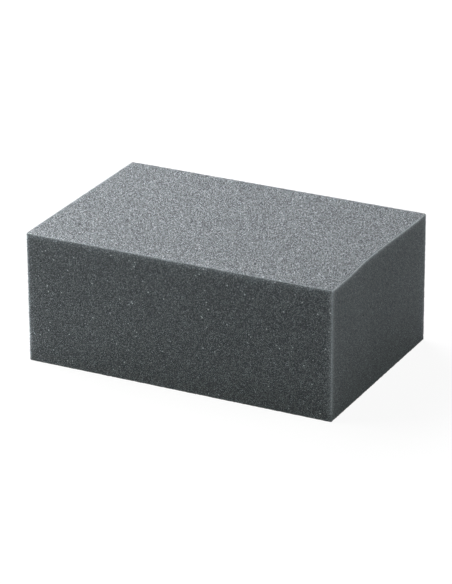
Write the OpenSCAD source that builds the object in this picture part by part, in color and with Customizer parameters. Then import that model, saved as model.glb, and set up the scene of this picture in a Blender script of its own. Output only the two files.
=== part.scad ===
// Grout sponge: one plain block of fine open-cell foam, cut on all six sides.
// The block stands on its largest face, with its origin at the middle of that face.
// +X runs along its length, +Y from the front face to the back face, +Z up.

/* [Block] */
// Length of the foam block, from end to end
block_len = 160; // [120:1:200]
// Width of the foam block, from front to back
block_w = 106; // [80:1:140]
// Height of the foam block
block_h = 66; // [40:1:90]

/* [Edges] */
// Radius of the soft edges all round the block
edge_r = 0.6; // [0.5:0.1:5]

/* [Hollow end] */
// Depth of the hollow that the saw left in the +X end, at the top edge
hollow_depth = 1.6; // [0.8:0.1:4]
// Flat strip between the soft front edge and the hollow
hollow_front_land = 9; // [1:0.5:20]
// Flat strip between the hollow and the soft back edge
hollow_back_land = 14; // [1:0.5:30]
// Flat strip between the soft bottom edge and the foot of the hollow
hollow_foot = 5; // [1:0.5:20]

/* [Colour] */
// Colour of the foam
foam_colour = "#66696b";

/* [Hidden] */

// Facets of a soft edge, and of the wide sweep that hollows the end
edge_facets = 48;
sweep_facets = 720;

// Room that the sweep runs past the block's top and bottom faces
run_past = 5;

// The sweep is a wide cone on an upright axis, which stands off the +X end.
// At the top it cuts a chord of hollow_width out of the end face, hollow_depth deep
// in its middle. Its radius is kept to a whole millimetre.
hollow_width = block_w - 2 * edge_r - hollow_front_land - hollow_back_land;
hollow_mid_y = (hollow_front_land - hollow_back_land) / 2;
sweep_r = round((pow(hollow_width / 2, 2) + pow(hollow_depth, 2)) / (2 * hollow_depth));
sweep_x = block_len / 2 - hollow_depth + sweep_r;

// The cone's side leans: it leaves the end face at foot_z, and reaches its full
// radius at shoulder_z, where the soft top edge begins.
foot_z = edge_r + hollow_foot;
shoulder_z = block_h - edge_r;
side_slope = hollow_depth / (shoulder_z - foot_z);
bottom_r = sweep_r - side_slope * (shoulder_z + run_past);

// A rectangle about the origin, with round corners
module soft_rect(size, r) {
    square([size.x - 2 * r, size.y], center = true);
    square([size.x, size.y - 2 * r], center = true);
    for (sx = [-1, 1], sy = [-1, 1])
        translate([sx * (size.x / 2 - r), sy * (size.y / 2 - r)])
            circle(r, $fn = edge_facets);
}

// The block, soft on every edge: all that its plan, front and end outlines share
module soft_block() {
    intersection() {
        linear_extrude(block_h)
            soft_rect([block_len, block_w], edge_r);
        translate([0, block_w / 2, block_h / 2])
            rotate([90, 0, 0])
                linear_extrude(block_w)
                    soft_rect([block_len, block_h], edge_r);
        translate([-block_len / 2, 0, block_h / 2])
            rotate([90, 0, 90])
                linear_extrude(block_len)
                    soft_rect([block_w, block_h], edge_r);
    }
}

// Half section of the sweep: its leaning side, and the round that keeps the
// hollow's own top edge as soft as the others
module sweep_section() {
    round_centre = [sweep_r + edge_r, shoulder_z];
    difference() {
        polygon([
            [0, -run_past],
            [bottom_r, -run_past],
            [sweep_r, shoulder_z],
            round_centre,
            [sweep_r + edge_r, block_h + run_past],
            [0, block_h + run_past]
        ]);
        translate(round_centre)
            circle(edge_r, $fn = edge_facets);
    }
}

module end_hollow() {
    translate([sweep_x, hollow_mid_y, 0])
        rotate_extrude($fn = sweep_facets)
            sweep_section();
}

module sponge() {
    color(foam_colour)
        difference() {
            soft_block();
            end_hollow();
        }
}

sponge();
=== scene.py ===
"""A grout sponge: one block of fine open-cell foam, with its studio floor, lamps and camera.

All sizes are in metres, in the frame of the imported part: +X along the sponge's length,
+Y from its front face to its back face, +Z up, and the origin in the middle of its base.
"""

import math

import bpy
import numpy as np
from mathutils import Matrix, Vector, kdtree, noise


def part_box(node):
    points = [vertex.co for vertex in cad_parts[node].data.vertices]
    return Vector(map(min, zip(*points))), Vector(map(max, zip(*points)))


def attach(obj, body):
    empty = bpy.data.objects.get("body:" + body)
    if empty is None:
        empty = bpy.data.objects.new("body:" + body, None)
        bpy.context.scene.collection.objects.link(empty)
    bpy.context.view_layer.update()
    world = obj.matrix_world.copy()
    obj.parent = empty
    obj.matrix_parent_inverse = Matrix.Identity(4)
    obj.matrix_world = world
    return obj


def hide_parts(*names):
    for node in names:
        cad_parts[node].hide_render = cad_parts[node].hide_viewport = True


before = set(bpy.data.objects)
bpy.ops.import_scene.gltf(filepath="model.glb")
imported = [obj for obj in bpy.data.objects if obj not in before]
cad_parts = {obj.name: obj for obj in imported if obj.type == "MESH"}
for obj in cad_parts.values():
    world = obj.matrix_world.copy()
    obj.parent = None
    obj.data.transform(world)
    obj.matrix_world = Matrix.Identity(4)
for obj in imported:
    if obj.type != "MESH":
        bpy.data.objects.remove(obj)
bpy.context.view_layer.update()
LOW, HIGH = (np.array(corner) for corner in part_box("sponge"))

bl_info = {
    "name": "Grout sponge",
    "version": (1, 0, 0),
    "blender": (4, 5, 0),
    "location": "3D View > Sidebar > Sponge",
    "description": "Makes a foam grout sponge and the plain studio that it stands in",
    "category": "Add Mesh",
}

MM = 0.001
X, Y, Z = 0, 1, 2
SEED = 7

BLOCK_NAME = "foam_block"
FLOOR_NAME = "studio_floor"
BAKE_MAP = "OFBake"

# What the mesh tells the material: how far a point lies from a frayed edge, and how far it
# lies in an open pore
EDGE_DISTANCE = "edge_distance"
PORE = "pore"


# ---------------------------------------------------------------- what a user can change


class SpongeFormSettings(bpy.types.PropertyGroup):
    """Form of the foam block"""

    edge_radius: bpy.props.FloatProperty(
        name="Edge radius",
        description="Radius of the soft edges all round",
        default=0.75 * MM,
        min=0.3 * MM,
        max=5 * MM,
        unit="LENGTH",
        precision=5,
    )
    edge_steps: bpy.props.IntProperty(
        name="Edge steps",
        description="Grid cells over each half of a soft edge",
        default=2,
        min=1,
        max=4,
    )
    grid_cell: bpy.props.FloatProperty(
        name="Grid cell",
        description="Side of the mesh's cells on the flat faces",
        default=0.85 * MM,
        min=0.5 * MM,
        max=10 * MM,
        unit="LENGTH",
        precision=5,
    )
    grid_jitter: bpy.props.FloatProperty(
        name="Grid jitter",
        description="How far a point strays from its place in the grid, in cells",
        default=0.3,
        min=0.0,
        max=0.45,
    )
    hollow_depth: bpy.props.FloatProperty(
        name="Hollow depth",
        description="Depth of the hollow in the +X end, at the top edge",
        default=1.45 * MM,
        min=0.1 * MM,
        max=4 * MM,
        unit="LENGTH",
        precision=5,
    )
    hollow_front_land: bpy.props.FloatProperty(
        name="Front land",
        description="Flat strip between the soft front edge and the hollow",
        default=12 * MM,
        min=0.0,
        max=20 * MM,
        unit="LENGTH",
        precision=5,
    )
    hollow_back_land: bpy.props.FloatProperty(
        name="Back land",
        description="Flat strip between the hollow and the soft back edge",
        default=2.5 * MM,
        min=0.0,
        max=30 * MM,
        unit="LENGTH",
        precision=5,
    )
    hollow_deepest: bpy.props.FloatProperty(
        name="Deepest at",
        description="Where the hollow is deepest, as a share of the width from the front face",
        default=0.41,
        min=0.2,
        max=0.8,
        subtype="FACTOR",
    )
    hollow_foot: bpy.props.FloatProperty(
        name="Hollow foot",
        description="Flat strip between the soft bottom edge and the hollow",
        default=5 * MM,
        min=0.0,
        max=20 * MM,
        unit="LENGTH",
        precision=5,
    )
    end_reach: bpy.props.FloatProperty(
        name="End reach",
        description="Length over which the end's form fades into the block",
        default=25 * MM,
        min=5 * MM,
        max=60 * MM,
        unit="LENGTH",
        precision=5,
    )
    end_fray: bpy.props.FloatProperty(
        name="End fray",
        description="Share of the distance to an upright edge that counts on the two ends",
        default=0.65,
        min=0.1,
        max=1.0,
        subtype="FACTOR",
    )
    grain_depth: bpy.props.FloatProperty(
        name="Grain depth",
        description="Relief that the cut cells leave from one point to the next",
        default=0.05 * MM,
        min=0.0,
        max=0.5 * MM,
        unit="LENGTH",
        precision=6,
    )
    fray_depth: bpy.props.FloatProperty(
        name="Fray depth",
        description="How far the cut edges wander in and out",
        default=0.15 * MM,
        min=0.0,
        max=2 * MM,
        unit="LENGTH",
        precision=5,
    )
    fray_length: bpy.props.FloatProperty(
        name="Fray length",
        description="Length of one wander of the cut edges",
        default=1.6 * MM,
        min=0.2 * MM,
        max=20 * MM,
        unit="LENGTH",
        precision=5,
    )
    wave_depth: bpy.props.FloatProperty(
        name="Wave depth",
        description="Height of the slow unevenness that the saw leaves in a face",
        default=0.04 * MM,
        min=0.0,
        max=1 * MM,
        unit="LENGTH",
        precision=6,
    )
    wave_length: bpy.props.FloatProperty(
        name="Wave length",
        description="Size of that unevenness",
        default=9 * MM,
        min=2 * MM,
        max=80 * MM,
        unit="LENGTH",
        precision=5,
    )
    pore_count: bpy.props.IntProperty(
        name="Pores",
        description="Number of large open pores over the whole block",
        default=160,
        min=0,
        max=3000,
    )
    pore_radius: bpy.props.FloatProperty(
        name="Pore radius",
        description="Radius of the largest pores",
        default=1.15 * MM,
        min=0.3 * MM,
        max=4 * MM,
        unit="LENGTH",
        precision=5,
    )
    pore_depth: bpy.props.FloatProperty(
        name="Pore depth",
        description="Depth of the largest pores",
        default=0.5 * MM,
        min=0.0,
        max=3 * MM,
        unit="LENGTH",
        precision=5,
    )


class SpongeFoamSettings(bpy.types.PropertyGroup):
    """Finish of the foam"""

    colour: bpy.props.FloatVectorProperty(
        name="Colour",
        description="Colour of the foam, taken over its struts and cells",
        default=(0.132, 0.145, 0.151),
        min=0.0,
        max=1.0,
        size=3,
        subtype="COLOR",
    )
    cell_size: bpy.props.FloatProperty(
        name="Cell size",
        description="Distance from one foam cell to the next",
        default=0.32 * MM,
        min=0.2 * MM,
        max=3 * MM,
        unit="LENGTH",
        precision=5,
    )
    # Painted shade: the cells' mouths are darkened in the colour, as shade in their hollows
    mouth_shade_contrast: bpy.props.FloatProperty(
        name="Cell contrast",
        description="How much darker the mouth of a cell is than its struts",
        default=0.2,
        min=0.0,
        max=1.0,
    )
    # Painted highlights: the knots are lightened in the colour, as light caught where struts meet
    knot_spacing: bpy.props.FloatProperty(
        name="Knot spacing",
        description="Distance between the light knots where struts meet",
        default=0.28 * MM,
        min=0.2 * MM,
        max=3 * MM,
        unit="LENGTH",
        precision=5,
    )
    knot_highlight_gain: bpy.props.FloatProperty(
        name="Knot gain",
        description="How much brighter than the foam the brightest knots are",
        default=6.4,
        min=0.0,
        max=12.0,
    )
    cell_relief: bpy.props.FloatProperty(
        name="Cell relief",
        description="Height of the struts over the mouths of the cells",
        default=0.12 * MM,
        min=0.0,
        max=1 * MM,
        unit="LENGTH",
        precision=6,
    )
    # Painted glints: rare bright specks painted into the colour, standing in for light that the
    # cell windows catch
    glint_spacing: bpy.props.FloatProperty(
        name="Speck spacing",
        description="Spacing of the places where a bright speck may lie",
        default=1.7 * MM,
        min=0.5 * MM,
        max=10 * MM,
        unit="LENGTH",
        precision=5,
    )
    glint_share: bpy.props.FloatProperty(
        name="Speck share",
        description="Share of those places that hold a bright speck",
        default=0.12,
        min=0.0,
        max=1.0,
        subtype="FACTOR",
    )
    glint_gain: bpy.props.FloatProperty(
        name="Speck gain",
        description="How much brighter than the foam a speck is",
        default=5.4,
        min=0.0,
        max=12.0,
    )
    mottle_size: bpy.props.FloatProperty(
        name="Mottle size",
        description="Size of the faint lighter and darker patches",
        default=4.5 * MM,
        min=1 * MM,
        max=50 * MM,
        unit="LENGTH",
        precision=5,
    )
    mottle_contrast: bpy.props.FloatProperty(
        name="Mottle contrast",
        description="Strength of those patches",
        default=0.05,
        min=0.0,
        max=1.0,
    )
    # Partly frayed foam and partly painted highlight: the colour is lightened towards the edges,
    # where the rounded edges catch light from both sides
    edge_highlight_band: bpy.props.FloatProperty(
        name="Edge band",
        description="Depth to which the sides grow lighter towards their frayed edges",
        default=0.95 * MM,
        min=0.1 * MM,
        max=5 * MM,
        unit="LENGTH",
        precision=5,
    )
    edge_highlight_gain: bpy.props.FloatProperty(
        name="Edge gain",
        description="How much brighter than the sides the frayed edges are",
        default=1.55,
        min=0.0,
        max=3.0,
    )
    # Painted highlight: the edge lightening grows towards the top edges, most at the hollow
    # end's, where they catch the lamps
    crest_highlight_reach: bpy.props.FloatProperty(
        name="Crest reach",
        description="Height over which the fray grows stronger towards the top edges",
        default=2.5 * MM,
        min=0.1 * MM,
        max=20 * MM,
        unit="LENGTH",
        precision=5,
    )
    crest_highlight_gain: bpy.props.FloatProperty(
        name="Crest gain",
        description="Strength of the fray at the top edges, against down the sides",
        default=0.45,
        min=0.0,
        max=5.0,
    )
    end_crest_highlight_gain: bpy.props.FloatProperty(
        name="End crest gain",
        description="Strength of the fray at the hollow end's top edge, against down the sides",
        default=1.7,
        min=0.0,
        max=5.0,
    )
    creep_reach: bpy.props.FloatProperty(
        name="Creep reach",
        description="Depth below the top edges to which the light of the top creeps",
        default=1.6 * MM,
        min=0.1 * MM,
        max=20 * MM,
        unit="LENGTH",
        precision=5,
    )
    creep_gain: bpy.props.FloatProperty(
        name="Creep gain",
        description="How much lighter that makes the sides just below the top edges",
        default=0.16,
        min=0.0,
        max=2.0,
    )
    # Painted highlight: a lighter rim painted along the top's front edge, standing in for how the
    # light falls there
    brow_highlight_reach: bpy.props.FloatProperty(
        name="Brow reach",
        description="Width of the light rim on top, along the front edge",
        default=7 * MM,
        min=0.1 * MM,
        max=20 * MM,
        unit="LENGTH",
        precision=5,
    )
    brow_highlight_gain: bpy.props.FloatProperty(
        name="Brow gain",
        description="How much lighter that rim is",
        default=0.13,
        min=0.0,
        max=2.0,
    )
    # Painted shade: the edge lightening fades towards the base, where less light reaches
    base_highlight_fade: bpy.props.FloatProperty(
        name="Base fade",
        description="Height over which the fray fades out towards the base",
        default=8 * MM,
        min=1 * MM,
        max=40 * MM,
        unit="LENGTH",
        precision=5,
    )
    # Painted shade: the large pores are darkened in the colour, as shade in their hollows,
    # besides their dents in the mesh
    pore_shade: bpy.props.FloatProperty(
        name="Pore darkness",
        description="How dark the large pores are",
        default=0.5,
        min=0.0,
        max=1.0,
        subtype="FACTOR",
    )
    end_smoothness: bpy.props.FloatProperty(
        name="End smoothness",
        description="How much fainter the cells show on the two ends, which a finer saw cut",
        default=0.4,
        min=0.0,
        max=1.0,
        subtype="FACTOR",
    )
    blotch_size: bpy.props.FloatProperty(
        name="Blotch size",
        description="Size of the soft blotches on the two ends",
        default=0.8 * MM,
        min=0.2 * MM,
        max=10 * MM,
        unit="LENGTH",
        precision=5,
    )
    blotch_contrast: bpy.props.FloatProperty(
        name="Blotch contrast",
        description="Strength of those blotches",
        default=0.65,
        min=0.0,
        max=3.0,
    )
    # Painted light: the grain is painted in stronger on the top and bottom faces, as raking light
    # on the top shows the cells more
    top_raking_light: bpy.props.FloatProperty(
        name="Top clearness",
        description="How much clearer the cells show on the top and bottom faces",
        default=0.62,
        min=0.0,
        max=2.0,
    )
    light_reach: bpy.props.FloatProperty(
        name="Light reach",
        description="How far light creeps through the foam before it comes out again",
        default=4.6 * MM,
        min=0.0,
        max=10 * MM,
        unit="LENGTH",
        precision=5,
    )
    roughness: bpy.props.FloatProperty(
        name="Roughness",
        description="Roughness of the struts",
        default=0.9,
        min=0.0,
        max=1.0,
        subtype="FACTOR",
    )


class SpongeStageSettings(bpy.types.PropertyGroup):
    """Floor, lamps and camera"""

    floor_radius: bpy.props.FloatProperty(
        name="Floor radius",
        description="Radius of the round floor",
        default=8.0,
        min=1.0,
        max=50.0,
        unit="LENGTH",
    )
    floor_colour: bpy.props.FloatVectorProperty(
        name="Floor colour",
        description="Colour in which the floor throws the lamps' light back at the block",
        default=(0.55, 0.55, 0.55),
        min=0.0,
        max=1.0,
        size=3,
        subtype="COLOR",
    )
    floor_shade: bpy.props.FloatVectorProperty(
        name="Floor shade",
        description="Part of the floor's white that the camera sees darken in a shadow",
        default=(0.08, 0.08, 0.08),
        min=0.0,
        max=1.0,
        size=3,
        subtype="COLOR",
    )
    floor_glow: bpy.props.FloatProperty(
        name="Floor glow",
        description="White that the camera sees in the floor, beside the lamps' light",
        default=0.92,
        min=0.0,
        max=1.0,
    )
    world_light: bpy.props.FloatProperty(
        name="World light",
        description="Strength of the even light from all round",
        default=0.0,
        min=0.0,
        max=2.0,
    )
    camera_azimuth: bpy.props.FloatProperty(
        name="Azimuth",
        description="How far round to the right of the front face the camera stands",
        default=math.radians(26.905),
        subtype="ANGLE",
    )
    camera_elevation: bpy.props.FloatProperty(
        name="Elevation",
        description="How far above the horizon the camera stands",
        default=math.radians(22.942),
        subtype="ANGLE",
    )
    camera_roll: bpy.props.FloatProperty(
        name="Roll",
        description="How far the camera is turned about its own axis",
        default=math.radians(-0.286),
        subtype="ANGLE",
    )
    camera_distance: bpy.props.FloatProperty(
        name="Distance",
        description="Distance from the camera to the point it aims at",
        default=1.5772,
        min=0.2,
        unit="LENGTH",
        precision=4,
    )
    camera_aim: bpy.props.FloatVectorProperty(
        name="Aim",
        description="Point that the camera aims at",
        default=(-0.935 * MM, 0.0, 30.123 * MM),
        size=3,
        unit="LENGTH",
        precision=5,
    )
    camera_lens: bpy.props.FloatProperty(
        name="Lens",
        description="Focal length in millimetres, for 36 mm along the image's long side",
        default=202.63,
        min=20.0,
        precision=2,
    )


# ---------------------------------------------------------------- the block's mesh


# Room between the block's sides on the flat map
MAP_GAP = 2 * MM

# Square root of the smallest pore's size, where the largest one's is 1
SMALL_PORE = 0.6

# How many pore radii the middle of a pore stays away from the block's edges
PORE_MARGIN = 2


def smooth_step(low, high, values):
    """0 below low, 1 above high, and a smooth rise between them."""
    share = np.clip((values - low) / (high - low), 0, 1)
    return share * share * (3 - 2 * share)


def grid_line(low, high, form):
    """Places of the grid along one side: short steps over the soft edges, even ones between."""
    edge = form.edge_radius
    angles = math.radians(45) * np.arange(1, form.edge_steps + 1) / form.edge_steps
    bend = edge * np.tan(angles)
    cells = round((high - low - 2 * edge) / form.grid_cell)
    inner = np.linspace(low + edge, high - edge, cells + 1)
    return np.concatenate([(low + edge - bend)[::-1], inner, high - edge + bend])


def map_corners(size):
    """For each side of the block, where its corner lies on the flat map and whether it lies
    turned there, and then the map's own width."""
    length, width, height = size
    second = length + MAP_GAP
    third = second + height + MAP_GAP
    corners = {
        (Z, 1): ((0, 0), False),
        (Z, 0): ((0, width + MAP_GAP), False),
        (Y, 0): ((0, 2 * (width + MAP_GAP)), False),
        (Y, 1): ((second, 0), True),
        (X, 0): ((second, length + MAP_GAP), True),
        (X, 1): ((third, 0), True),
    }
    return corners, max(third + height, 2 * (width + MAP_GAP) + height)


def block_grid(form):
    """The block's points on a sharp-edged box, its quads, and each quad corner's place on
    the flat map."""
    lines = [grid_line(LOW[axis], HIGH[axis], form) for axis in (X, Y, Z)]
    shape = tuple(len(line) for line in lines)
    numbers = np.arange(math.prod(shape)).reshape(shape)
    corners, map_width = map_corners(HIGH - LOW)
    quads, spots = [], []
    for (axis, end), (corner, turned) in corners.items():
        across, up = (other for other in (X, Y, Z) if other != axis)
        side = numbers.take(-end, axis)
        inside_out = (axis == Y) != (end == 0)
        flat = [lines[across] - LOW[across], lines[up] - LOW[up]]
        if inside_out != turned:
            flat[0] = flat[0][-1] - flat[0]
        spot = np.stack(np.meshgrid(*flat, indexing="ij"), axis=-1)
        if turned:
            spot = spot[..., ::-1]
        spot = (spot + corner) / map_width
        steps = [np.s_[:-1, :-1], np.s_[1:, :-1], np.s_[1:, 1:], np.s_[:-1, 1:]]
        if inside_out:
            steps.reverse()
        quads.append(np.stack([side[step].ravel() for step in steps], axis=-1))
        spots.append(np.stack([spot[step].reshape(-1, 2) for step in steps], axis=1))
    used, quads = np.unique(np.concatenate(quads), return_inverse=True)
    steps = np.unravel_index(used, shape)
    points = np.stack([line[step] for line, step in zip(lines, steps)], axis=-1)
    return points, quads.reshape(-1, 4), np.concatenate(spots)


def distance_to_edge(points):
    """How far each point of the sharp-edged box lies from its nearest edge."""
    inward = np.sort(np.minimum(points - LOW, HIGH - points), axis=1)
    return inward[:, 1]


def distance_to_fray(points, form):
    """The same, but shorter on the ends beside their upright edges, where the foam is frayed
    further in."""
    inward = np.minimum(points - LOW, HIGH - points)
    on_end = inward[:, X] <= 0
    inward[on_end, Y] *= form.end_fray
    return np.sort(inward, axis=1)[:, 1]


def jitter(points, to_edge, form, rng):
    """Moves the points about in their own faces, but not those on a soft edge."""
    stray = form.grid_jitter * form.grid_cell * rng.uniform(-1, 1, points.shape)
    on_face = (points <= LOW) | (points >= HIGH)
    stray[on_face] = 0
    stray[to_edge < form.edge_radius + form.grid_cell / 2] = 0
    return points + stray


def rounded(points, radius):
    """The points moved from the sharp-edged box to the soft-edged one, and their normals."""
    core = np.clip(points, LOW + radius, HIGH - radius)
    outward = points - core
    normals = outward / np.linalg.norm(outward, axis=1, keepdims=True)
    return core + radius * normals, normals


def pores(places, to_edge, form, rng):
    """How far each point lies in a large open pore, from 0 to 1, and how deep the pore is
    there."""
    tree = kdtree.KDTree(len(places))
    for number, place in enumerate(places):
        tree.insert(place, number)
    tree.balance()
    openness = np.zeros(len(places))
    depth = np.zeros(len(places))
    for centre in rng.choice(len(places), form.pore_count, replace=False):
        size = rng.uniform(SMALL_PORE, 1.0) ** 2
        if to_edge[centre] < PORE_MARGIN * form.pore_radius:
            continue
        for _, number, distance in tree.find_range(places[centre], form.pore_radius):
            open_here = max(0.0, 1 - (distance / (size * form.pore_radius)) ** 2)
            openness[number] = max(openness[number], open_here)
            depth[number] = max(depth[number], size * form.pore_depth * open_here**2)
    return openness, depth


def noise_at(places, size):
    """Smooth noise from -1 to 1 at each place, with features of that size."""
    return np.array([noise.noise(Vector(place / size)) for place in places])


def end_form(places, form):
    """How far each point of the +X end moves along X, for the hollow that the saw left. It is
    deepest at the top edge, nearer the front face, and runs out towards the base."""
    edge = form.edge_radius
    start = LOW[Y] + edge + form.hollow_front_land
    middle = LOW[Y] + form.hollow_deepest * (HIGH[Y] - LOW[Y])
    stop = HIGH[Y] - edge - form.hollow_back_land
    across = smooth_step(start, middle, places[:, Y]) - smooth_step(middle, stop, places[:, Y])
    foot, shoulder = LOW[Z] + edge + form.hollow_foot, HIGH[Z] - edge
    height = np.minimum(places[:, Z], shoulder)
    lean = (shoulder - height) / (shoulder - foot)
    hollow = form.hollow_depth * np.maximum(0, across - lean)
    fade = smooth_step(HIGH[X] - form.end_reach, HIGH[X] - edge, places[:, X])
    return -fade * hollow


def make_foam_mesh(form):
    """The foam block as a mesh, with its soft edges, hollow end, cut cells and open pores."""
    rng = np.random.default_rng(SEED)
    points, quads, spots = block_grid(form)
    to_edge, to_fray = distance_to_edge(points), distance_to_fray(points, form)
    points = jitter(points, to_edge, form, rng)
    places, normals = rounded(points, form.edge_radius)
    openness, pore_depth = pores(places, to_edge, form, rng)
    relief = form.wave_depth * noise_at(places, form.wave_length)
    relief += form.grain_depth * rng.uniform(-1, 1, len(places))
    near_edge = np.exp(-to_edge / form.fray_length)
    relief += form.fray_depth * near_edge * noise_at(places, form.fray_length)
    places = places + normals * (relief - pore_depth)[:, None]
    places[:, X] += end_form(places, form)
    places[:, Z] = np.maximum(places[:, Z], LOW[Z])

    mesh = bpy.data.meshes.new(BLOCK_NAME)
    mesh.vertices.add(len(places))
    mesh.vertices.foreach_set("co", places.astype(np.float32).ravel())
    mesh.loops.add(quads.size)
    mesh.loops.foreach_set("vertex_index", quads.astype(np.int32).ravel())
    mesh.polygons.add(len(quads))
    mesh.polygons.foreach_set("loop_start", np.arange(0, quads.size, 4, dtype=np.int32))
    mesh.update(calc_edges=True)
    mesh.validate()
    mesh.shade_smooth()
    flat_map = mesh.uv_layers.new(name=BAKE_MAP)
    flat_map.uv.foreach_set("vector", spots.astype(np.float32).ravel())
    for name, values in ((EDGE_DISTANCE, to_fray), (PORE, openness)):
        attribute = mesh.attributes.new(name, "FLOAT", "POINT")
        attribute.data.foreach_set("value", values.astype(np.float32))
    return mesh


# ---------------------------------------------------------------- the foam's material


# How straight the surface faces along X, or up or down, where it begins to count as an
# end, or as the top or bottom, and where it counts in full: 1 is quite straight
FACE_BEGINS, FACE_FULL = 0.6, 0.85

# The same for the flat top and bottom, where the fray's painted highlight is faint, and for the
# hollow end's crest
FLAT_BEGINS, FLAT_FULL = 0.7, 0.95
CREST_BEGINS, CREST_FULL = 0.1, 0.5

# A mouth or a knot, and then a painted glint, from the rim to the heart, in cells of their
# lattice
MOUTH_RIM, MOUTH_HEART = 0.6, 0.1
GLINT_RIM, GLINT_HEART = 0.22, 0.13

# How open a pore is where its painted shade begins and where it is at its darkest
PORE_RIM, PORE_HEART = 0.25, 0.9

# The higher this is, the fewer of the knots carry a bright painted highlight
KNOT_RARITY = 2.0

# Means of the mouths and the knots over the foam, which keep its colour as it is set
MEAN_MOUTH = 0.21
MEAN_KNOT = 0.066

# Turn of the cells' lattices, so that none of the block's faces lies along them
LATTICE_TURN = (0.61, 0.47, 0.83)

# Shares of their strength that the fray's painted highlight, the grain and the painted glints
# lose or keep
FRAY_HIGHLIGHT_LOST_ON_FLAT = 0.9
FRAY_HIGHLIGHT_LOST_ON_ENDS = 0.25
FRAY_HIGHLIGHT_KEPT_AT_BASE = 0.25
GRAIN_LOST_IN_FRAY = 0.6
GRAIN_KEPT_ON_TOP = 0.45
GLINTS_LOST_ON_TOP = 0.7
GLINTS_LOST_ON_ENDS = 0.9

# How far the depth of the fray and its painted highlight wanders, in edge bands
FRAY_WANDER = 0.5

# Size and strength of the wide mottling, against the finer one
WIDE_MOTTLE_SIZE = 6
WIDE_MOTTLE_STRENGTH = 0.5

# The darkest that the grain gets, and how weakly the struts shine
DARKEST_GRAIN = 0.1
STRUT_SHINE = 0.1

# Room from one node to the next in the node editor
NODE_STEP = 180


class NodeSheet:
    """Places the nodes of one material and joins them up."""

    def __init__(self, tree):
        self.tree = tree
        self.column = 0

    def put(self, kind, settings=(), **inputs):
        """A node of that kind, with its settings and inputs. An input is a value or the
        output of another node."""
        node = self.tree.nodes.new("ShaderNode" + kind)
        node.location = (NODE_STEP * self.column, 0)
        self.column += 1
        for name, value in dict(settings).items():
            setattr(node, name, value)
        for name, value in inputs.items():
            self.join(value, self.socket(node, name))
        return node

    @staticmethod
    def socket(node, name):
        """The input with that name, written in small letters with underscores."""
        for socket in node.inputs:
            if socket.enabled and socket.name.lower().replace(" ", "_") == name:
                return socket
        raise KeyError(f"{node.bl_idname} has no input {name}")

    def join(self, value, socket):
        """Gives the socket a value, or links it to another node's output."""
        if isinstance(value, bpy.types.NodeSocket):
            self.tree.links.new(value, socket)
        else:
            socket.default_value = value

    def math(self, operation, *values):
        """The result of a sum on values or other nodes' outputs."""
        node = self.put("Math", {"operation": operation})
        for value, socket in zip(values, node.inputs):
            self.join(value, socket)
        return node.outputs[0]

    def mix(self, share, colour, other):
        """One colour where the share is 0, the other where it is 1."""
        node = self.put("Mix", {"data_type": "RGBA"}, factor=share, a=colour, b=other)
        return next(output for output in node.outputs if output.enabled)

    def ramp(self, value, start, end, to_start=0.0, to_end=1.0):
        """The value's way from start to end, mapped smoothly to the other two."""
        node = self.put("MapRange", {"interpolation_type": "SMOOTHSTEP"}, value=value)
        limits = {"From Min": start, "From Max": end, "To Min": to_start, "To Max": to_end}
        for name, limit in limits.items():
            node.inputs[name].default_value = limit
        return node.outputs[0]

    def fall(self, distance, reach):
        """From 1 at no distance down towards 0, by e for each reach."""
        return self.math("EXPONENT", self.math("DIVIDE", distance, -reach))

    def lifted(self, value, share, gain):
        """The value as it is where the share is 0, and times 1 + gain where the share is 1."""
        return self.math("MULTIPLY", value, self.math("MULTIPLY_ADD", share, gain, 1.0))

    def attribute(self, name):
        """What the mesh holds under that name at each point."""
        return self.put("Attribute", {"attribute_name": name}).outputs["Fac"]

    def cloud(self, place, size, detail=2.0):
        """Soft noise about 0, with features of that size."""
        node = self.put("TexNoise", vector=place, scale=1 / size, detail=detail)
        return self.math("SUBTRACT", node.outputs[0], 0.5)


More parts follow.
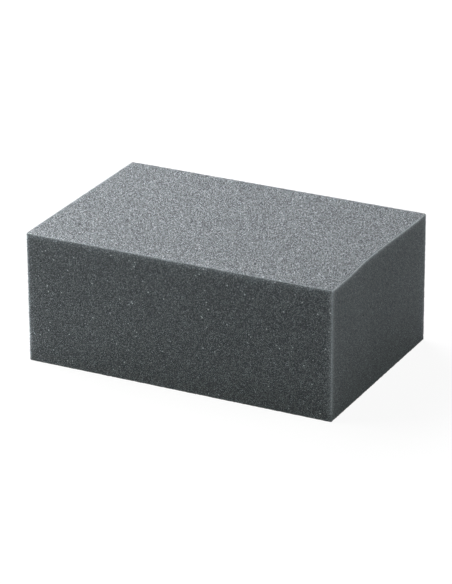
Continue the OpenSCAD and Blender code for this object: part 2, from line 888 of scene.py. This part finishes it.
class FoamSheet(NodeSheet):
    """The nodes of the foam, which all start from the place and the slant of the surface."""

    def __init__(self, tree, foam):
        super().__init__(tree)
        self.foam = foam
        surface = self.put("TexCoord").outputs
        self.place = surface["Object"]
        self.along = self.put("SeparateXYZ", vector=self.place).outputs
        self.slant = self.put("SeparateXYZ", vector=surface["Normal"]).outputs
        self.level = self.math("ABSOLUTE", self.slant["Z"])
        self.on_top = self.ramp(self.level, FACE_BEGINS, FACE_FULL)
        endward = self.math("ABSOLUTE", self.slant["X"])
        self.on_end = self.ramp(endward, FACE_BEGINS, FACE_FULL)
        self.turned = self.put(
            "VectorRotate",
            {"rotation_type": "EULER_XYZ"},
            vector=self.place,
            rotation=LATTICE_TURN,
        ).outputs[0]

    def fray(self):
        """How close the surface is to a frayed edge, from 0 to 1, and how much lighter the colour
        is there: partly the fray itself and partly a painted highlight, which is stronger at the
        top edges and weaker towards the base, on the flat faces and on the ends."""
        foam = self.foam
        height = self.along["Z"]
        wander = self.cloud(self.place, foam.edge_highlight_band)
        depth = self.attribute(EDGE_DISTANCE)
        depth = self.math("MULTIPLY_ADD", wander, FRAY_WANDER * foam.edge_highlight_band, depth)
        closeness = self.fall(depth, foam.edge_highlight_band)
        # Painted shade: the edge highlight fades towards the base
        at_base = FRAY_HIGHLIGHT_KEPT_AT_BASE * foam.edge_highlight_gain
        gain = self.ramp(height, LOW[Z], LOW[Z] + foam.base_highlight_fade, at_base, foam.edge_highlight_gain)
        flat = self.ramp(self.level, FLAT_BEGINS, FLAT_FULL)
        gain = self.lifted(gain, flat, -FRAY_HIGHLIGHT_LOST_ON_FLAT)
        gain = self.lifted(gain, self.on_end, -FRAY_HIGHLIGHT_LOST_ON_ENDS)
        # Painted highlight: stronger near the top edges, most at the hollow end's
        crests = (foam.crest_highlight_gain, foam.end_crest_highlight_gain)
        crest = self.ramp(self.slant["X"], CREST_BEGINS, CREST_FULL, *crests)
        near_top = self.ramp(height, HIGH[Z] - foam.crest_highlight_reach, HIGH[Z])
        gain = self.lifted(gain, near_top, self.math("SUBTRACT", crest, 1.0))
        return closeness, gain

    def dots(self, size, rim, heart):
        """A round dot in each cell of a lattice, 0 at its rim and 1 at its heart, and the
        cell's random colour."""
        cells = {"voronoi_dimensions": "3D"}
        lattice = self.put("TexVoronoi", cells, vector=self.turned, scale=1 / size).outputs
        return self.ramp(lattice["Distance"], rim, heart), lattice["Color"]

    def number(self, colour):
        """A cell's random number, from 0 to 1, out of its random colour."""
        return self.put("SeparateColor", color=colour).outputs["Red"]

    def mouths(self):
        """The mouths of the cells, darkened in the colour as painted shade, and also sunk in the
        bump and made rougher.
        """
        mouth, _ = self.dots(self.foam.cell_size, MOUTH_RIM, MOUTH_HEART)
        return mouth

    def knots(self):
        """The knots where struts meet, each with a brightness of its own: painted highlights in
        the colour, and raised in the bump.
        """
        knot, colour = self.dots(self.foam.knot_spacing, MOUTH_RIM, MOUTH_HEART)
        return self.math("MULTIPLY", knot, self.math("POWER", self.number(colour), KNOT_RARITY))

    def specks(self):
        """The rare bright specks, painted glints where cell windows catch the light, which are
        faint on the top and fainter on the ends.
        """
        foam = self.foam
        speck, colour = self.dots(foam.glint_spacing, GLINT_RIM, GLINT_HEART)
        chosen = self.math("LESS_THAN", self.number(colour), foam.glint_share)
        speck = self.math("MULTIPLY", speck, chosen)
        speck = self.lifted(speck, self.on_top, -GLINTS_LOST_ON_TOP)
        return self.lifted(speck, self.on_end, -GLINTS_LOST_ON_ENDS)

    def clearness(self, closeness):
        """How clearly the grain shows: more on the top and bottom, where it is painted in
        stronger as raking light would show it, and less on the ends and in the fray."""
        foam = self.foam
        clearness = self.math("MULTIPLY_ADD", self.on_end, -foam.end_smoothness, 1.0)
        # Painted raking light: stronger grain on the top and bottom
        clearness = self.math("MULTIPLY_ADD", self.on_top, foam.top_raking_light, clearness)
        loss = self.math("MULTIPLY_ADD", self.on_top, GRAIN_KEPT_ON_TOP, -GRAIN_LOST_IN_FRAY)
        return self.lifted(clearness, closeness, loss)

    def grain(self, mouth, knot, clearness):
        """Shade of the cells and blotches, with a mean of about 1: painted shade in the cells'
        mouths, painted highlights on the knots, and blotches of the foam's own tone on the ends.
        """
        foam = self.foam
        # Painted shade in the cells' mouths
        darker = self.math("SUBTRACT", MEAN_MOUTH, mouth)
        darker = self.math("MULTIPLY", darker, foam.mouth_shade_contrast)
        # Painted highlights on the knots
        lighter = self.math("SUBTRACT", knot, MEAN_KNOT)
        lighter = self.math("MULTIPLY", lighter, foam.knot_highlight_gain)
        grain = self.math("MULTIPLY", self.math("ADD", darker, lighter), clearness)
        blotch = self.math("MULTIPLY", self.cloud(self.place, foam.blotch_size), self.on_end)
        grain = self.math("MULTIPLY_ADD", blotch, foam.blotch_contrast, grain)
        return self.math("MAXIMUM", self.math("ADD", grain, 1.0), DARKEST_GRAIN)

    def mottle(self):
        """Soft lighter and darker patches of two sizes, about 0."""
        size = self.foam.mottle_size
        mottle = self.cloud(self.place, size)
        wide_mottle = self.cloud(self.place, WIDE_MOTTLE_SIZE * size, detail=1.0)
        wide_mottle = self.math("MULTIPLY", wide_mottle, WIDE_MOTTLE_STRENGTH)
        return self.math("ADD", mottle, wide_mottle)

    def creep(self):
        """Light of the top that comes out again below the top edges."""
        below = self.math("SUBTRACT", HIGH[Z], self.along["Z"])
        creep = self.fall(below, self.foam.creep_reach)
        return self.math("MULTIPLY", creep, self.math("SUBTRACT", 1.0, self.on_top))

    def brow(self):
        """A painted highlight: the light rim on top, along the front edge, where more of the
        lamps' light falls.
        """
        behind = self.math("SUBTRACT", self.along["Y"], LOW[Y])
        return self.math("MULTIPLY", self.fall(behind, self.foam.brow_highlight_reach), self.on_top)


def make_foam_material(foam):
    """Open-cell foam: mouths darkened with painted shade between knots lightened with painted
    highlights, rare painted glints, faint mottling, edges lightened partly by fray and partly by
    painted highlight, painted light below the top edges and on the top's front rim, and large
    pores darkened with painted shade."""
    material = bpy.data.materials.new("open_cell_foam")
    material.use_nodes = True
    material.node_tree.nodes.clear()
    sheet = FoamSheet(material.node_tree, foam)

    mouth, knot = sheet.mouths(), sheet.knots()
    closeness, edge_highlight_gain = sheet.fray()
    # Painted shade of the large pores
    pore = sheet.ramp(sheet.attribute(PORE), PORE_RIM, PORE_HEART)
    shade = sheet.grain(mouth, knot, sheet.clearness(closeness))
    # Each share lifts or lowers the shade: painted glints, the foam's own mottling, the partly
    # painted edge highlight, painted light creeping below the top edges, the painted highlight of
    # the top's front rim, and the painted shade of the pores
    for share, gain in (
        (sheet.specks(), foam.glint_gain),
        (sheet.mottle(), foam.mottle_contrast),
        (closeness, edge_highlight_gain),
        (sheet.creep(), foam.creep_gain),
        (sheet.brow(), foam.brow_highlight_gain),
        (pore, -foam.pore_shade),
    ):
        shade = sheet.lifted(shade, share, gain)

    scaled = {"operation": "SCALE"}
    colour = sheet.put("VectorMath", scaled, vector=tuple(foam.colour), scale=shade)
    roughness = sheet.math("MULTIPLY_ADD", mouth, 1.0 - foam.roughness, foam.roughness)
    relief = sheet.math("SUBTRACT", knot, mouth)
    bump = sheet.put("Bump", height=relief, strength=1.0, distance=foam.cell_relief)
    shader = sheet.put(
        "BsdfPrincipled",
        base_color=colour.outputs[0],
        roughness=roughness,
        normal=bump.outputs[0],
        specular_ior_level=STRUT_SHINE,
        subsurface_weight=1.0,
        subsurface_radius=(1.0, 1.0, 1.0),
        subsurface_scale=foam.light_reach,
    )
    sheet.put("OutputMaterial", surface=shader.outputs[0])
    return material


class SPONGE_OT_make_block(bpy.types.Operator):
    """Make the foam block"""

    bl_idname = "sponge.make_block"
    bl_label = "Foam block"

    def execute(self, context):
        scene = context.scene
        block = bpy.data.objects.new(BLOCK_NAME, make_foam_mesh(scene.sponge_form))
        scene.collection.objects.link(block)
        block.data.materials.append(make_foam_material(scene.sponge_foam))
        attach(block, "root")
        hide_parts("sponge")
        return {"FINISHED"}


# ---------------------------------------------------------------- the studio


# Each lamp's name, place, side, watts and colour
LAMPS = (
    ("key", (-0.612, 0.354, 0.737), 0.7, 14.9, (0.965, 0.925, 1.0)),
    ("front_key", (-0.399, -0.145, 0.454), 0.4, 4.0, (0.97, 1.0, 0.965)),
    ("side_fill", (0.495, 0.0, 0.525), 0.4, 1.52, (0.96, 1.0, 0.97)),
)
LAMP_AIM = (0.0, 0.0, 0.03)

# Sides of the round floor
FLOOR_SIDES = 96

# Distances from the block's middle between which the floor's glow rises to full white
GLOW_NEAR, GLOW_FAR = 0.18, 0.45

# The camera's sensor, in millimetres, and the nearest and farthest that it sees
SENSOR_WIDTH = 36.0
CLIP_NEAR, CLIP_FAR = 0.05, 100.0

WHITE = (1.0, 1.0, 1.0, 1.0)


def camera_sees(tree):
    """A sheet for that tree, and its value that is 1 where the camera looks directly, in a
    mirror or through glass."""
    sheet = NodeSheet(tree)
    path = sheet.put("LightPath").outputs
    seen = sheet.math("MAXIMUM", path["Is Camera Ray"], path["Is Glossy Ray"])
    return sheet, sheet.math("MAXIMUM", seen, path["Is Transmission Ray"])


def make_floor(stage):
    """A wide round floor, level with the block's base, that looks white but for the shadow."""
    floor_mesh = bpy.data.meshes.new(FLOOR_NAME)
    turns = np.linspace(0, 2 * math.pi, FLOOR_SIDES, endpoint=False)
    rim = [(stage.floor_radius * math.cos(t), stage.floor_radius * math.sin(t), 0) for t in turns]
    floor_mesh.from_pydata(rim, [], [range(len(rim))])
    floor = bpy.data.objects.new(FLOOR_NAME, floor_mesh)
    floor.location.z = LOW[Z]
    material = bpy.data.materials.new("floor_paper")
    material.use_nodes = True
    tree = material.node_tree
    tree.nodes.clear()
    sheet, seen = camera_sees(tree)
    place = sheet.put("TexCoord").outputs["Object"]
    away = sheet.put("VectorMath", {"operation": "LENGTH"}, vector=place).outputs["Value"]
    glow = sheet.ramp(away, GLOW_NEAR, GLOW_FAR, stage.floor_glow, 1.0)
    glow = sheet.math("MULTIPLY", glow, seen)
    colour = sheet.mix(seen, (*stage.floor_colour, 1.0), (*stage.floor_shade, 1.0))
    paper = sheet.put("BsdfDiffuse", color=colour)
    light = sheet.put("Emission", strength=glow)
    both = sheet.put("AddShader")
    tree.links.new(paper.outputs[0], both.inputs[0])
    tree.links.new(light.outputs[0], both.inputs[1])
    sheet.put("OutputMaterial", surface=both.outputs[0])
    floor_mesh.materials.append(material)
    return floor


def make_world(stage):
    """White where the camera sees it, and an even light on the block as strong as is set."""
    world = bpy.data.worlds.new("studio")
    world.use_nodes = True
    tree = world.node_tree
    tree.nodes.clear()
    sheet, seen = camera_sees(tree)
    strength = sheet.math("MULTIPLY_ADD", seen, 1.0 - stage.world_light, stage.world_light)
    background = sheet.put("Background", color=WHITE, strength=strength)
    sheet.put("OutputWorld", surface=background.outputs[0])
    return world


def make_lamp(name, place, side, watts, colour):
    """A soft square lamp that shines on the block."""
    light = bpy.data.lights.new(name, "AREA")
    light.shape = "SQUARE"
    light.size = side
    light.energy = watts
    light.color = colour
    lamp = bpy.data.objects.new(name, light)
    lamp.location = place
    lamp.visible_camera = False
    back = Vector(place) - Vector(LAMP_AIM)
    lamp.rotation_euler = back.to_track_quat("Z", "Y").to_euler()
    return lamp


def make_camera(stage):
    """A camera that looks at its aim from the given turn, height and distance."""
    azimuth, elevation = stage.camera_azimuth, stage.camera_elevation
    back = Vector((
        math.sin(azimuth) * math.cos(elevation),
        -math.cos(azimuth) * math.cos(elevation),
        math.sin(elevation),
    ))
    camera_data = bpy.data.cameras.new("camera")
    camera_data.lens = stage.camera_lens
    camera_data.sensor_width = SENSOR_WIDTH
    camera_data.clip_start, camera_data.clip_end = CLIP_NEAR, CLIP_FAR
    camera = bpy.data.objects.new("camera", camera_data)
    level = back.to_track_quat("Z", "Y").to_matrix()
    rolled = level @ Matrix.Rotation(stage.camera_roll, 3, "Z")
    place = Vector(stage.camera_aim) + back * stage.camera_distance
    camera.matrix_world = Matrix.Translation(place) @ rolled.to_4x4()
    return camera


class SPONGE_OT_make_stage(bpy.types.Operator):
    """Make the floor, the lamps and the camera"""

    bl_idname = "sponge.make_stage"
    bl_label = "Floor, lamps and camera"

    def execute(self, context):
        scene = context.scene
        stage = scene.sponge_stage
        floor = make_floor(stage)
        camera = make_camera(stage)
        for thing in (floor, camera, *(make_lamp(*lamp) for lamp in LAMPS)):
            scene.collection.objects.link(thing)
        scene.camera = camera
        scene.world = make_world(stage)
        scene.view_settings.view_transform = "Standard"
        return {"FINISHED"}


class SPONGE_PT_panel(bpy.types.Panel):
    """Makes the sponge and its stage"""

    bl_label = "Grout sponge"
    bl_idname = "SPONGE_PT_panel"
    bl_space_type = "VIEW_3D"
    bl_region_type = "UI"
    bl_category = "Sponge"

    def draw(self, context):
        scene = context.scene
        for groups, operator in (
            ((scene.sponge_form, scene.sponge_foam), SPONGE_OT_make_block),
            ((scene.sponge_stage,), SPONGE_OT_make_stage),
        ):
            box = self.layout.box()
            for group in groups:
                for name in group.bl_rna.properties.keys():
                    if name not in ("rna_type", "name"):
                        box.prop(group, name)
            box.operator(operator.bl_idname)


CLASSES = (
    SpongeFormSettings,
    SpongeFoamSettings,
    SpongeStageSettings,
    SPONGE_OT_make_block,
    SPONGE_OT_make_stage,
    SPONGE_PT_panel,
)


def register():
    for cls in CLASSES:
        bpy.utils.register_class(cls)
    bpy.types.Scene.sponge_form = bpy.props.PointerProperty(type=SpongeFormSettings)
    bpy.types.Scene.sponge_foam = bpy.props.PointerProperty(type=SpongeFoamSettings)
    bpy.types.Scene.sponge_stage = bpy.props.PointerProperty(type=SpongeStageSettings)


def unregister():
    del bpy.types.Scene.sponge_stage
    del bpy.types.Scene.sponge_foam
    del bpy.types.Scene.sponge_form
    for cls in reversed(CLASSES):
        bpy.utils.unregister_class(cls)


def main():
    register()
    bpy.ops.sponge.make_stage()
    bpy.ops.sponge.make_block()


if __name__ == "__main__":
    main()
